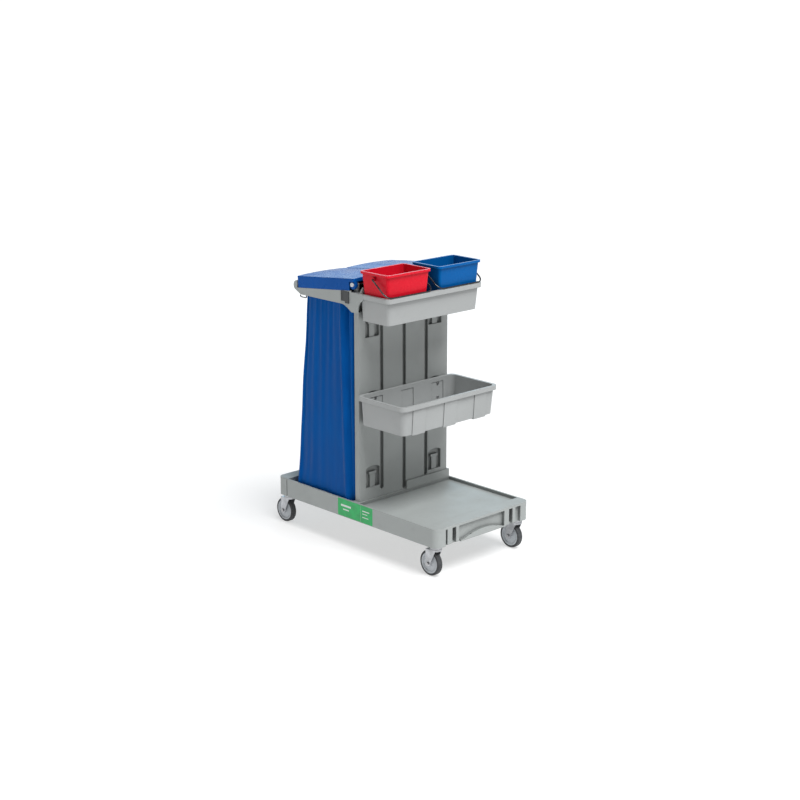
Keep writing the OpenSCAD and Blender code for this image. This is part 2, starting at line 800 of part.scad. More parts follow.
// Screws through the upper tray's rear wall into the panel
module tray_screws() {
  color(steel) placed()
    for (y = shelf_screw_ys)
      translate([panel_face - 8, y, shelf_screw_z]) rotate([0, 90, 0]) {
        cylinder(r = 2.5, h = shelf_x0 + 17 - panel_face + 8);
        translate([0, 0, shelf_x0 + 16 - panel_face + 8]) cylinder(r = 5, h = 3);
      }
}

// ---- lids, hinge rod and bag hoops ----

module hinge_rod() {
  color(steel) placed() translate([hinge_x, 0, hinge_z])
    y_cylinder(rod_r, -frame_y + 1, frame_y - 1);
}

// Light caps that close the rod's ends
module rod_caps() {
  color(light_grey) placed() translate([hinge_x, 0, hinge_z])
    for (side = ends) difference() {
      y_cylinder(8, side > 0 ? frame_y - 3.7 : -frame_y - 1, side > 0 ? frame_y + 1 : -frame_y + 3.7);
      y_cylinder(rod_r, side > 0 ? frame_y - 5 : -frame_y + 1, side > 0 ? frame_y - 1 : -frame_y + 5);
    }
}

// Crowned block in the lid's plane, between y0 and y1, shrunk by inset
module lid_block(y0, y1, inset, low, front) {
  half = (y1 - y0) / 2;
  crown_r = (half * half + lid_crown * lid_crown) / (2 * lid_crown);
  intersection() {
    slab(-lid_back + inset, front, y0 + inset, y1 - inset, low, lid_up + lid_crown, max(1, 6 - inset));
    translate([0, (y0 + y1) / 2, lid_up + lid_crown - crown_r])
      rotate([0, 90, 0]) translate([0, 0, -lid_back - 5])
        cylinder(r = crown_r - inset, h = lid_back + lid_front + 10, $fn = 360);
  }
}

module lid_lug(y, width, r) {
  y_cylinder(r, y, y + width);
  block([-r, y, 0], [min(r, lid_front - 1), y + width, lid_up - lid_t / 2]);
}

module lid(side) {
  y0 = side > 0 ? 3 : -frame_y;
  y1 = side > 0 ? frame_y : -3;
  outer_lug = side * (frame_y - 4);
  inner_lug = side * 12;
  color(blue) placed() in_lid_plane() difference() {
    union() {
      difference() {
        lid_block(y0, y1, 0, -skirt_down, lid_front);
        lid_block(y0, y1, lid_t, -skirt_down - 1, lid_front - lid_t);
        // the skirt stops short of the hinge; a shallow lip goes on over it
        block([-15.5, y0 - 1, -skirt_down - 1], [lid_front + 1, y1 + 1, lug_r + 0.8]);
      }
      lid_lug(min(outer_lug, outer_lug - side * 11), 11, lid_lug_r);
      lid_lug(min(inner_lug, inner_lug + side * 8), 8, lid_lug_r - 6);
    }
    y_cylinder(rod_r + running, -frame_y - 1, frame_y + 1);
  }
}

// Wire frame that a bag's mouth hangs on
module bag_hoop(side) {
  x0 = hoop_x0;
  x1 = hoop_x1;
  y0 = side > 0 ? 12 : -frame_y + arm_t + 11;
  y1 = side > 0 ? frame_y - arm_t - 11 : -12;
  bend = 14;
  color(steel) placed() in_lid_plane() translate([0, 0, -hoop_drop]) {
    for (y = [y0, y1]) translate([x0 + bend, y, 0]) rotate([0, 90, 0])
      cylinder(r = hoop_r, h = x1 - x0 - 2 * bend, $fn = 24);
    for (x = [x0, x1]) translate([x, 0, 0])
      y_cylinder(hoop_r, y0 + bend, y1 - bend, $fn = 24);
    corner(x1 - bend, y1 - bend, 0, bend, hoop_r);
    corner(x0 + bend, y1 - bend, 90, bend, hoop_r);
    corner(x0 + bend, y0 + bend, 180, bend, hoop_r);
    corner(x1 - bend, y0 + bend, 270, bend, hoop_r);
  }
}

// Quarter of a ring of wire, from the turn's angle onwards
module corner(x, y, turn, bend, wire) {
  translate([x, y, 0]) rotate([0, 0, turn])
    rotate_extrude(angle = 90, $fn = 48) translate([bend, 0]) circle(wire, $fn = 24);
}

// ---- bags ----

module bag_hull(side, grow, lift) {
  top_y0 = 17.3 - grow;
  top_y1 = frame_y - arm_t - 16.3 + grow;
  low_y0 = 4 - grow;
  low_y1 = base_w / 2 - base_wall - 4.5 + grow;
  top_d = -ledge_drop + 3 - fit + lift;
  hull() {
    in_lid_plane()
      slab(hoop_x0 + hoop_r + 0.4 - grow, hoop_x1 - hoop_r - 0.6 + grow,
           side > 0 ? top_y0 : -top_y1, side > 0 ? top_y1 : -top_y0,
           top_d - 1, top_d, 14 + grow, $fn = hull_fn);
    slab(bag_rear - grow, sill_back - 6 + grow,
         side > 0 ? low_y0 : -low_y1, side > 0 ? low_y1 : -low_y0,
         well_z + fit - grow, well_z + fit - grow + 1, 28 + grow, $fn = hull_fn);
  }
}

module bag(side) {
  color(navy) placed() difference() {
    bag_hull(side, 0, -3);
    bag_hull(side, -bag_t, 4);
  }
}

// ---- buckets ----

module bucket_body(grow, z0, z1) {
  half_l = bucket_len / 2 - bucket_lip;
  half_w = bucket_w / 2 - bucket_lip;
  tapered([-half_l + bucket_draft - grow, half_l - bucket_draft + grow,
           -half_w + bucket_draft + 1 - grow, half_w - bucket_draft - 1 + grow, z0, 9 + grow],
          [-half_l - grow, half_l + grow, -half_w - grow, half_w + grow, z1, 11 + grow]);
}

module bucket(side, shade) {
  color(shade) placed() translate([bucket_x, side * bucket_y, 0]) difference() {
    union() {
      bucket_body(0, bucket_z, bucket_top - 1);
      slab(-bucket_len / 2, bucket_len / 2, -bucket_w / 2, bucket_w / 2, bucket_top - 4, bucket_top, 15);
      difference() {
        slab(-bucket_len / 2, bucket_len / 2, -bucket_w / 2, bucket_w / 2, bucket_top - 9, bucket_top, 15);
        slab(-bucket_len / 2 + 2, bucket_len / 2 - 2, -bucket_w / 2 + 2, bucket_w / 2 - 2,
             bucket_top - 10, bucket_top - 3, 13);
      }
      for (end = ends)
        translate([0, end * (bucket_w / 2 - 5), bail_z]) y_cylinder(8, -5, 5);
    }
    bucket_body(-bucket_wall, bucket_z + bucket_wall, bucket_top + 1);
    translate([0, 0, bail_z]) y_cylinder(wire_r + running, -bucket_w, bucket_w);
  }
}

// Wire handle: two pivots, two elbows, two arms, two bends and a cross bar
module bail(side) {
  color(black) placed() translate([bucket_x, side * bucket_y, bail_z]) rotate([0, bail_angle, 0]) {
    for (end = ends) {
      y_cylinder(wire_r, end > 0 ? bail_y - 16 : elbow_bend - bail_y,
                 end > 0 ? bail_y - elbow_bend : 16 - bail_y, $fn = 24);
      corner(elbow_bend, end * (bail_y - elbow_bend), end > 0 ? 90 : 180, elbow_bend, wire_r);
      translate([elbow_bend, end * bail_y, 0]) rotate([0, 90, 0])
        cylinder(r = wire_r, h = bail_len - bail_bend - elbow_bend, $fn = 24);
      corner(bail_len - bail_bend, end * (bail_y - bail_bend), end > 0 ? 0 : 270, bail_bend, wire_r);
    }
    translate([bail_len, 0, 0]) y_cylinder(wire_r, -bail_y + bail_bend, bail_y - bail_bend, $fn = 24);
  }
}

// ---- assembly ----

base();
side_label();
panel();
panel_bolts();
lower_tray();
tray_brackets();
bracket_screws();
top_frame();
frame_screws();
upper_tray();
tray_screws();
arm_clips();
handle_hooks();
hinge_rod();
rod_caps();
lid(-1);  // lid_near
lid(1);  // lid_far
bag_hoop(-1);  // bag_hoop_near
bag_hoop(1);  // bag_hoop_far
bag(-1);  // bag_near
bag(1);  // bag_far
bucket(-1, red);  // bucket_red
bucket(1, blue);  // bucket_blue
bail(-1);  // bail_red
bail(1);  // bail_blue
caster_mount(1, -1);  // caster_fl_mount
caster_fork(1, -1);  // caster_fl_fork
caster_axle(1, -1);  // caster_fl_axle
caster_wheel(1, -1);  // caster_fl_wheel
caster_tyre(1, -1);  // caster_fl_tyre
caster_mount(1, 1);  // caster_fr_mount
caster_fork(1, 1);  // caster_fr_fork
caster_axle(1, 1);  // caster_fr_axle
caster_wheel(1, 1);  // caster_fr_wheel
caster_tyre(1, 1);  // caster_fr_tyre
caster_mount(-1, -1);  // caster_rl_mount
caster_fork(-1, -1);  // caster_rl_fork
caster_axle(-1, -1);  // caster_rl_axle
caster_wheel(-1, -1);  // caster_rl_wheel
caster_tyre(-1, -1);  // caster_rl_tyre
caster_mount(-1, 1);  // caster_rr_mount
caster_fork(-1, 1);  // caster_rr_fork
caster_axle(-1, 1);  // caster_rr_axle
caster_wheel(-1, 1);  // caster_rr_wheel
caster_tyre(-1, 1);  // caster_rr_tyre
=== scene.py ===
import math
import random

import bpy
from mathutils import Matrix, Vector, noise


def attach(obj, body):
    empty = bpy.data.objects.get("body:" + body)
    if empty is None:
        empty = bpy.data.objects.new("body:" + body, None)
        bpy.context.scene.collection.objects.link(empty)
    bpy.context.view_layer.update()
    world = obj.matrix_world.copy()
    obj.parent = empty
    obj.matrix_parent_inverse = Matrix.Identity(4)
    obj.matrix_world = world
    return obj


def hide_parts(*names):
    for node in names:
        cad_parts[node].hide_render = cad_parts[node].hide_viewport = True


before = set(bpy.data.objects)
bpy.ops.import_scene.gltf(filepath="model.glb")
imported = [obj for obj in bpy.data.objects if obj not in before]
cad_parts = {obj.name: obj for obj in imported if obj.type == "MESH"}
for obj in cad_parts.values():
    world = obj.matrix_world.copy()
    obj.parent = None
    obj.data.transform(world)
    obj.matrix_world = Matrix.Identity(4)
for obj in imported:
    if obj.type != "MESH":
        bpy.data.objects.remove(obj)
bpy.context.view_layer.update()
scene = bpy.context.scene


def say(text):
    print("[cart] " + text)


def startMaterial(name):
    mat = bpy.data.materials.new(name)
    mat.use_nodes = True
    tree = mat.node_tree
    shader = tree.nodes["Principled BSDF"]
    return mat, tree, shader


def node(tree, kind, settings=None, **inputs):
    n = tree.nodes.new(kind)
    for key, value in (settings or {}).items():
        setattr(n, key, value)
    for key, value in inputs.items():
        n.inputs[key.replace("_", " ")].default_value = value
    return n


def maths(tree, op, a, b):
    n = node(tree, "ShaderNodeMath", {"operation": op})
    for i, v in enumerate((a, b)):
        if hasattr(v, "is_output"):
            tree.links.new(v, n.inputs[i])
        else:
            n.inputs[i].default_value = v
    return n.outputs[0]


def remap(tree, value, lo, hi, outLo=0.0, outHi=1.0):
    n = node(tree, "ShaderNodeMapRange", {"interpolation_type": "SMOOTHSTEP"})
    tree.links.new(value, n.inputs["Value"])
    for key, v in (("From Min", lo), ("From Max", hi), ("To Min", outLo), ("To Max", outHi)):
        n.inputs[key].default_value = v
    return n.outputs["Result"]


def blendColour(tree, factor, a, b):
    n = node(tree, "ShaderNodeMix", {"data_type": "RGBA"})
    if hasattr(factor, "is_output"):
        tree.links.new(factor, n.inputs[0])
    else:
        n.inputs[0].default_value = factor
    # sockets 6 and 7 are the node's two colours, output 2 its colour
    for i, v in ((6, a), (7, b)):
        if hasattr(v, "is_output"):
            tree.links.new(v, n.inputs[i])
        else:
            n.inputs[i].default_value = (*v, 1)
    return n.outputs[2]


def shadeOf(colour, factor, lift=0.0):
    return tuple(min(1, c * factor + lift) for c in colour)


def objectCoords(tree, scale=(1, 1, 1), turn=(0, 0, 0)):
    coord = node(tree, "ShaderNodeTexCoord")
    mapping = node(tree, "ShaderNodeMapping")
    tree.links.new(coord.outputs["Object"], mapping.inputs["Vector"])
    mapping.inputs["Scale"].default_value = scale
    mapping.inputs["Rotation"].default_value = turn
    return mapping.outputs["Vector"]


def cloud(tree, vector, scale, detail=4, rough=0.55, distortion=0.0):
    n = node(tree, "ShaderNodeTexNoise", Scale=scale, Detail=detail, Roughness=rough, Distortion=distortion)
    tree.links.new(vector, n.inputs["Vector"])
    return n.outputs["Fac"]


scratchStretch = 40.0
maskSamples = 6


def scratchMask(tree, scale, turn):
    # long thin marks: noise squeezed across and drawn out along one direction
    v = objectCoords(tree, (scale, scale, scale / scratchStretch), turn)
    lines = cloud(tree, v, 1.0, 2, 0.5)
    return remap(tree, lines, 0.70, 0.78)


def edgeMask(tree, radius):
    # where a rounded normal leaves the flat one, there is an edge
    bevel = node(tree, "ShaderNodeBevel", {"samples": maskSamples}, Radius=radius)
    geo = node(tree, "ShaderNodeNewGeometry")
    dot = node(tree, "ShaderNodeVectorMath", {"operation": "DOT_PRODUCT"})
    tree.links.new(bevel.outputs["Normal"], dot.inputs[0])
    tree.links.new(geo.outputs["Normal"], dot.inputs[1])
    return remap(tree, dot.outputs["Value"], 0.995, 0.86), bevel.outputs["Normal"]


def recessShadeMask(tree, reach):
    # 0 on open faces, 1 deep in a slot or under a lip of the same piece; the mask places painted shade
    near = node(tree, "ShaderNodeAmbientOcclusion", {"samples": maskSamples, "only_local": True},
                Distance=reach)
    return remap(tree, near.outputs["AO"], 0.92, 0.35)


def finishBump(tree, shader, height, normal, strength, distance):
    bump = node(tree, "ShaderNodeBump", Strength=strength, Distance=distance)
    tree.links.new(height, bump.inputs["Height"])
    if normal is not None:
        tree.links.new(normal, bump.inputs["Normal"])
    tree.links.new(bump.outputs["Normal"], shader.inputs["Normal"])


plasticLook = {
    "edgeRadius": 0.0022,
    "grain": 1400.0,
    "scuffs": 0.3,
    # recessReach and recessDark: reach and strength of the painted shade in slots and under lips
    "recessReach": 0.05,
    "recessDark": 0.62,
    "grainStrength": 0.18,       # moulded grain on the grey pieces
    "polishedStrength": 0.05,    # the coloured pieces are polished
    "bumpDepth": 0.0004,
}


def mouldedPlastic(name, colour, rough=0.45, vary=0.06, wear=0.25, grime=0.2, edge=None, tint=None,
                   gloss=0.5):
    mat, t, shader = startMaterial(name)
    v = objectCoords(t)
    broad = cloud(t, v, 2.3, 3)
    mid = cloud(t, v, 17, 5, 0.6)
    fine = cloud(t, v, 420, 2)
    tone = blendColour(t, remap(t, broad, 0.3, 0.7), shadeOf(colour, 1 - vary * 1.6),
                       shadeOf(colour, 1 + vary))
    tone = blendColour(t, remap(t, fine, 0.35, 0.65, 0, 0.25), tone, shadeOf(colour, 0.9))
    smudge = remap(t, mid, 0.55, 0.78, 0, grime)
    tone = blendColour(t, smudge, tone, shadeOf(colour, 0.72))
    edges, rounded = edgeMask(t, edge or plasticLook["edgeRadius"])
    rub = maths(t, "MULTIPLY", edges, remap(t, mid, 0.38, 0.62))
    rub = maths(t, "MULTIPLY", rub, wear)
    pale = shadeOf(colour, 1.45, 0.006)
    tone = blendColour(t, rub, tone, pale)
    marks = maths(t, "MAXIMUM", scratchMask(t, 260, (0.3, 1.2, 0.1)),
                  scratchMask(t, 210, (1.4, 0.2, 0.9)))
    marks = maths(t, "MULTIPLY", marks, plasticLook["scuffs"])
    tone = blendColour(t, maths(t, "MULTIPLY", marks, 0.35), tone, pale)
    # painted shade: darkens slots and under lips of the same piece towards a near-black copy of the colour
    dustAndPaintedShade = maths(t, "MULTIPLY", recessShadeMask(t, plasticLook["recessReach"]), plasticLook["recessDark"])
    tone = blendColour(t, dustAndPaintedShade, tone, shadeOf(colour, 0.16))
    t.links.new(tone, shader.inputs["Base Color"])
    r = maths(t, "ADD", remap(t, mid, 0.3, 0.75, rough - 0.06, rough + 0.1),
              maths(t, "MULTIPLY", marks, 0.18))
    t.links.new(r, shader.inputs["Roughness"])
    shader.inputs["Specular IOR Level"].default_value = gloss
    if tint:
        shader.inputs["Specular Tint"].default_value = (*tint, 1)
    grain = cloud(t, v, plasticLook["grain"], 2, 0.6)
    height = maths(t, "SUBTRACT", maths(t, "MULTIPLY", grain, 0.5), maths(t, "MULTIPLY", marks, 0.6))
    strength = plasticLook["polishedStrength" if tint else "grainStrength"]
    finishBump(t, shader, height, rounded, strength, plasticLook["bumpDepth"])
    return mat


metalLook = {"streaks": 900.0, "edgeRadius": 0.0007, "dull": 0.25}


def platedSteel(name, colour, rough):
    mat, t, shader = startMaterial(name)
    v = objectCoords(t)
    bloom = cloud(t, v, 38, 5, 0.62)
    spots = cloud(t, v, 260, 3)
    tone = blendColour(t, remap(t, bloom, 0.35, 0.7), colour, shadeOf(colour, 0.78))
    tone = blendColour(t, remap(t, spots, 0.62, 0.75, 0, metalLook["dull"]), tone, shadeOf(colour, 0.55))
    edges, rounded = edgeMask(t, metalLook["edgeRadius"])
    tone = blendColour(t, maths(t, "MULTIPLY", edges, 0.4), tone, shadeOf(colour, 1.25))
    t.links.new(tone, shader.inputs["Base Color"])
    shader.inputs["Metallic"].default_value = 1.0
    across = metalLook["streaks"]
    streaks = cloud(t, objectCoords(t, (across, across, 30), (0.2, 0.1, 0)), 1.0, 2)
    r = maths(t, "ADD", remap(t, bloom, 0.3, 0.7, rough - 0.07, rough + 0.14),
              remap(t, streaks, 0.4, 0.7, -0.03, 0.05))
    t.links.new(r, shader.inputs["Roughness"])
    finishBump(t, shader, streaks, rounded, 0.08, 0.0002)
    return mat


def coatedWire(name):
    mat, t, shader = startMaterial(name)
    v = objectCoords(t)
    mid = cloud(t, v, 60, 4)
    chip = remap(t, cloud(t, v, 340, 3), 0.68, 0.74)
    tone = blendColour(t, remap(t, mid, 0.3, 0.7), (0.006, 0.006, 0.008), (0.02, 0.02, 0.023))
    tone = blendColour(t, maths(t, "MULTIPLY", chip, 0.5), tone, (0.16, 0.155, 0.15))
    t.links.new(tone, shader.inputs["Base Color"])
    t.links.new(remap(t, mid, 0.3, 0.75, 0.16, 0.34), shader.inputs["Roughness"])
    shader.inputs["Coat Weight"].default_value = 0.5
    shader.inputs["Coat Roughness"].default_value = 0.12
    finishBump(t, shader, cloud(t, v, 900, 2), None, 0.12, 0.0002)
    return mat


rubberLook = {"edgeRadius": 0.0018, "dustAndPaintedShade": (0.2, 0.19, 0.175)}


def greyRubber(name, colour):
    mat, t, shader = startMaterial(name)
    v = objectCoords(t)
    broad = cloud(t, v, 30, 4)
    dustAndPaintedShade = remap(t, cloud(t, v, 120, 5, 0.7), 0.5, 0.72)
    tone = blendColour(t, remap(t, broad, 0.3, 0.7), colour, shadeOf(colour, 0.75))
    edges, rounded = edgeMask(t, rubberLook["edgeRadius"])
    tone = blendColour(t, maths(t, "MULTIPLY", dustAndPaintedShade, 0.45), tone, rubberLook["dustAndPaintedShade"])
    tone = blendColour(t, maths(t, "MULTIPLY", edges, 0.3), tone, shadeOf(colour, 1.4))
    t.links.new(tone, shader.inputs["Base Color"])
    t.links.new(remap(t, broad, 0.3, 0.75, 0.5, 0.72), shader.inputs["Roughness"])
    shader.inputs["Specular IOR Level"].default_value = 0.35
    finishBump(t, shader, cloud(t, v, 700, 3), rounded, 0.25, 0.0005)
    return mat


labelLook = {
    "green": (0.014, 0.42, 0.11),
    "white": (0.72, 0.76, 0.73),
    "bars": [(-0.052, 0.006, 0.166, 0.174), (-0.04, -0.006, 0.152, 0.157),
             (0.072, 0.112, 0.172, 0.176), (0.072, 0.1, 0.161, 0.164), (0.072, 0.106, 0.147, 0.15)],
    "line": (0.0608, 0.0618),    # upright line between the two fields
    "soften": 0.0003,
}


def sideLabel(name):
    # plain green plate with blank bars where a maker would print a name
    mat, t, shader = startMaterial(name)
    coord = node(t, "ShaderNodeTexCoord")
    sep = node(t, "ShaderNodeSeparateXYZ")
    t.links.new(coord.outputs["Object"], sep.inputs[0])

    def within(axis, lo, hi):
        soft = labelLook["soften"]
        a = remap(t, sep.outputs[axis], lo - soft, lo + soft)
        b = remap(t, sep.outputs[axis], hi - soft, hi + soft, 1, 0)
        return maths(t, "MULTIPLY", a, b)

    mask = None
    for x0, x1, z0, z1 in labelLook["bars"]:
        bar = maths(t, "MULTIPLY", within("X", x0, x1), within("Z", z0, z1))
        mask = bar if mask is None else maths(t, "MAXIMUM", mask, bar)
    line = within("X", *labelLook["line"])
    mask = maths(t, "MAXIMUM", mask, maths(t, "MULTIPLY", line, 0.5))
    v = objectCoords(t)
    mid = cloud(t, v, 45, 5)
    green = labelLook["green"]
    tone = blendColour(t, remap(t, mid, 0.3, 0.7), shadeOf(green, 0.85), shadeOf(green, 1.12))
    worn = maths(t, "MULTIPLY", mask, remap(t, cloud(t, v, 300, 4), 0.3, 0.5, 0.75, 1))
    tone = blendColour(t, worn, tone, labelLook["white"])
    marks = scratchMask(t, 330, (0.2, 1.3, 0.4))
    tone = blendColour(t, maths(t, "MULTIPLY", marks, 0.15), tone, (0.4, 0.5, 0.42))
    t.links.new(tone, shader.inputs["Base Color"])
    t.links.new(remap(t, mid, 0.3, 0.75, 0.3, 0.45), shader.inputs["Roughness"])
    finishBump(t, shader, maths(t, "SUBTRACT", cloud(t, v, 800, 2), marks), None, 0.06, 0.0002)
    return mat


bagLook = {
    "colour": (0.0016, 0.085, 0.335),
    "shade": (0.0016, 0.05, 0.235),
    "thread": (0.01, 0.16, 0.5),
    "threadTint": (0.003, 0.11, 0.4),
    "creaseTint": (0.004, 0.12, 0.4),
    "sheenTint": (0.1, 0.4, 1.0),
    "glossTint": (0.1, 0.38, 0.95),
    "threadsPerMetre": 1500.0,
    "foldDepth": 0.0022,
}


def bagCloth(name):
    mat, t, shader = startMaterial(name)
    uv = node(t, "ShaderNodeUVMap", {"uv_map": "cloth"})
    v = objectCoords(t)
    weave = []
    for direction in ("X", "Y"):
        w = node(t, "ShaderNodeTexWave", {"bands_direction": direction, "wave_profile": "SIN"},
                 Scale=bagLook["threadsPerMetre"] / 20, Distortion=0.6, Detail=1.0)
        t.links.new(uv.outputs[0], w.inputs["Vector"])
        weave.append(w.outputs["Fac"])
    threads = maths(t, "MULTIPLY", weave[0], weave[1])
    broad = cloud(t, v, 4.0, 4)
    streak = cloud(t, objectCoords(t, (60, 60, 3)), 1.0, 4, 0.6)
    tone = blendColour(t, remap(t, broad, 0.3, 0.7), bagLook["shade"], bagLook["colour"])
    tone = blendColour(t, 0.6, tone, bagLook["colour"])
    tone = blendColour(t, remap(t, streak, 0.45, 0.8, 0, 0.35), tone, shadeOf(bagLook["colour"], 1.3))
    tone = blendColour(t, maths(t, "MULTIPLY", threads, 0.18), tone, bagLook["threadTint"])
    crumple = cloud(t, objectCoords(t, (9, 9, 5), (0.3, 0.5, 0.2)), 1.0, 6, 0.7, 1.2)
    crease = remap(t, crumple, 0.56, 0.62)
    tone = blendColour(t, maths(t, "MULTIPLY", crease, 0.12), tone, bagLook["creaseTint"])
    t.links.new(tone, shader.inputs["Base Color"])
    t.links.new(remap(t, broad, 0.3, 0.75, 0.42, 0.6), shader.inputs["Roughness"])
    shader.inputs["Sheen Weight"].default_value = 0.02
    shader.inputs["Sheen Roughness"].default_value = 0.4
    shader.inputs["Sheen Tint"].default_value = (*bagLook["sheenTint"], 1)
    shader.inputs["Specular IOR Level"].default_value = 0.12
    shader.inputs["Specular Tint"].default_value = (*bagLook["glossTint"], 1)
    ripple = cloud(t, objectCoords(t, (26, 26, 7)), 1.0, 5, 0.6)
    height = maths(t, "ADD", maths(t, "MULTIPLY", threads, 0.12), ripple)
    finishBump(t, shader, height, None, 0.35, bagLook["foldDepth"])
    return mat


def sewingThread(name):
    mat, t, shader = startMaterial(name)
    colour = bagLook["thread"]
    twist = cloud(t, objectCoords(t, (2600, 2600, 900), (0.4, 0.2, 0.7)), 1.0, 2)
    broad = cloud(t, objectCoords(t), 40, 3)
    tone = blendColour(t, remap(t, twist, 0.3, 0.7), shadeOf(colour, 0.7), colour)
    t.links.new(tone, shader.inputs["Base Color"])
    t.links.new(remap(t, broad, 0.3, 0.75, 0.5, 0.65), shader.inputs["Roughness"])
    finishBump(t, shader, twist, None, 0.3, 0.0002)
    return mat


blueTint = (0.05, 0.3, 0.9)
redTint = (1.0, 0.3, 0.3)
greyBody = mouldedPlastic("bodyGrey", (0.365, 0.39, 0.384), rough=0.48, vary=0.04, wear=0.2)
greyPanel = mouldedPlastic("panelGrey", (0.345, 0.365, 0.36), rough=0.5, vary=0.05, wear=0.2)
greyTray = mouldedPlastic("trayGrey", (0.39, 0.405, 0.405), rough=0.42, vary=0.035, wear=0.22, grime=0.12)
wheelGrey = mouldedPlastic("wheelGrey", (0.5, 0.53, 0.56), rough=0.36, vary=0.05, wear=0.3, edge=0.001)
capGrey = mouldedPlastic("capGrey", (0.66, 0.67, 0.68), rough=0.35, vary=0.03, wear=0.1, grime=0.1,
                         edge=0.0008)
lidBlue = mouldedPlastic("lidBlue", (0.002, 0.085, 0.37), rough=0.27, vary=0.06, wear=0.14, grime=0.12,
                         edge=0.005, tint=blueTint, gloss=0.2)
bucketBlue = mouldedPlastic("bucketBlue", (0.002, 0.112, 0.38), rough=0.24, vary=0.05, wear=0.12, grime=0.1,
                            edge=0.0018, tint=blueTint, gloss=0.22)
bucketRed = mouldedPlastic("bucketRed", (0.72, 0.009, 0.027), rough=0.24, vary=0.05, wear=0.1, grime=0.08,
                           edge=0.0018, tint=redTint, gloss=0.25)
clipGrey = mouldedPlastic("clipGrey", (0.045, 0.05, 0.053), rough=0.4, vary=0.1, wear=0.35, edge=0.0007)
zinc = platedSteel("zincPlate", (0.5, 0.51, 0.53), 0.3)
steel = platedSteel("brightSteel", (0.5, 0.5, 0.51), 0.28)
blackWire = coatedWire("blackWire")
tyreGrey = greyRubber("tyreRubber", (0.06, 0.063, 0.068))
labelGreen = sideLabel("labelGreen")
cloth = bagCloth("bagCloth")
thread = sewingThread("sewingThread")
say("materials made")

finishes = {
    "base": greyBody, "top_frame": greyBody, "panel": greyPanel, "tray_brackets": greyPanel,
    "lower_tray": greyTray, "upper_tray": greyTray, "side_label": labelGreen, "rod_caps": capGrey,
    "lid_near": lidBlue, "lid_far": lidBlue, "bucket_red": bucketRed, "bucket_blue": bucketBlue,
    "bail_red": blackWire, "bail_blue": blackWire, "handle_hooks": blackWire, "arm_clips": clipGrey,
    "bag_near": cloth, "bag_far": cloth,
}
for name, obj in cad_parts.items():
    if name in finishes:
        mat = finishes[name]
    elif name.endswith("_wheel"):
        mat = wheelGrey
    elif name.endswith("_tyre"):
        mat = tyreGrey
    elif name.endswith("_mount") or name.endswith("_fork"):
        mat = zinc
    else:
        mat = steel
    for slot in obj.material_slots:
        slot.material = mat
    if not obj.material_slots:
        obj.data.materials.append(mat)
say("finishes set on the moulded and metal parts")


hinge = {"x": 0.019, "z": 1.056, "tilt": math.radians(6)}

bagSizes = {
    "hoopX": (-0.294, -0.019),   # centre line of the hoop, along the lids' plane
    "hoopY": (0.012, 0.236),
    "hoopZ": -0.030,
    "hoopBend": 0.014,
    "wrap": 0.0037,              # radius of the cloth round the hoop's wire
    "floorX": (-0.355, 0.003),   # bottom of the bag in the well
    "floorY": (0.006, 0.2415),
    "floorZ": 0.1372,
    "floorBend": 0.03,
    "thickness": 0.0009,
    "sidePoints": (52, 38, 7),   # along X, along Y, round a corner
    "rings": 96,
    "wrapAngles": (-25, 20, 60, 90, 120, 150, 180),
    "floorRings": 6,
    "floorDrop": 0.0002,
    "tuckFrom": 0.93,            # share of the depth where the bottom starts to draw in
    "tuckDepth": 0.016,
    "belly": 0.004,              # how far the filled middle stands out
    "crumple": 0.0025,
}

bagFolds = {
    "count": 34,
    "depth": (0.0025, 0.0095),
    "width": (0.006, 0.014),
    "bulge": 0.6,                # share of the depth of a fold that stands out
    "frontFold": {"start": 0.765, "end": 0.95, "depth": 0.021, "width": 0.013,
                  "lip": 0.3, "lipAside": 0.022, "lipWidth": 0.014},
}

clothSettings = {
    "frames": 16,
    "quality": 5,
    "mass": 0.25,
    "stretch": 12,
    "shear": 6,
    "bend": 0.4,
    "air": 2,
    "extra": -0.012,             # cloth to spare, as a negative shrink
    "furthest": 0.007,           # how far a point may move, in metres
    "heldRings": 2,              # rings under the hoop that stay put
    "heldFloor": 0.004,
}

# how far the cloth may reach at each height: below z, widest y, furthest x
clearOf = {
    "gap": 0.0022,               # half the gap between the two bags
    "gapBelow": 0.95,
    "bands": [(0.21, 0.2465, 0.006), (0.9, 0.2535, 0.0115), (9.0, 0.2445, 0.0115)],
}


def inLidPlane(x, y, z):
    c, s = math.cos(hinge["tilt"]), math.sin(hinge["tilt"])
    return Vector((hinge["x"] + x * c - z * s, y, hinge["z"] + x * s + z * c))


def loopPoints(xs, ys, bend, counts):
    # one turn round a rounded rectangle, from the outer side's rear end forwards
    nx, ny, nc = counts
    (x0, x1), (y0, y1) = xs, ys
    pts = []
    normals = []

    def straight(a, b, n, normal):
        for i in range(n):
            f = i / n
            pts.append((a[0] + (b[0] - a[0]) * f, a[1] + (b[1] - a[1]) * f))
            normals.append(normal)

    def bendAt(cx, cy, a0, a1, n):
        for i in range(n):
            a = math.radians(a0 + (a1 - a0) * i / n)
            pts.append((cx + bend * math.cos(a), cy + bend * math.sin(a)))
            normals.append((math.cos(a), math.sin(a)))

    straight((x0 + bend, y1), (x1 - bend, y1), nx, (0, 1))
    bendAt(x1 - bend, y1 - bend, 90, 0, nc)
    straight((x1, y1 - bend), (x1, y0 + bend), ny, (1, 0))
    bendAt(x1 - bend, y0 + bend, 0, -90, nc)
    straight((x1 - bend, y0), (x0 + bend, y0), nx, (0, -1))
    bendAt(x0 + bend, y0 + bend, 270, 180, nc)
    straight((x0, y0 + bend), (x0, y1 - bend), ny, (-1, 0))
    bendAt(x0 + bend, y1 - bend, 180, 90, nc)
    return pts, normals


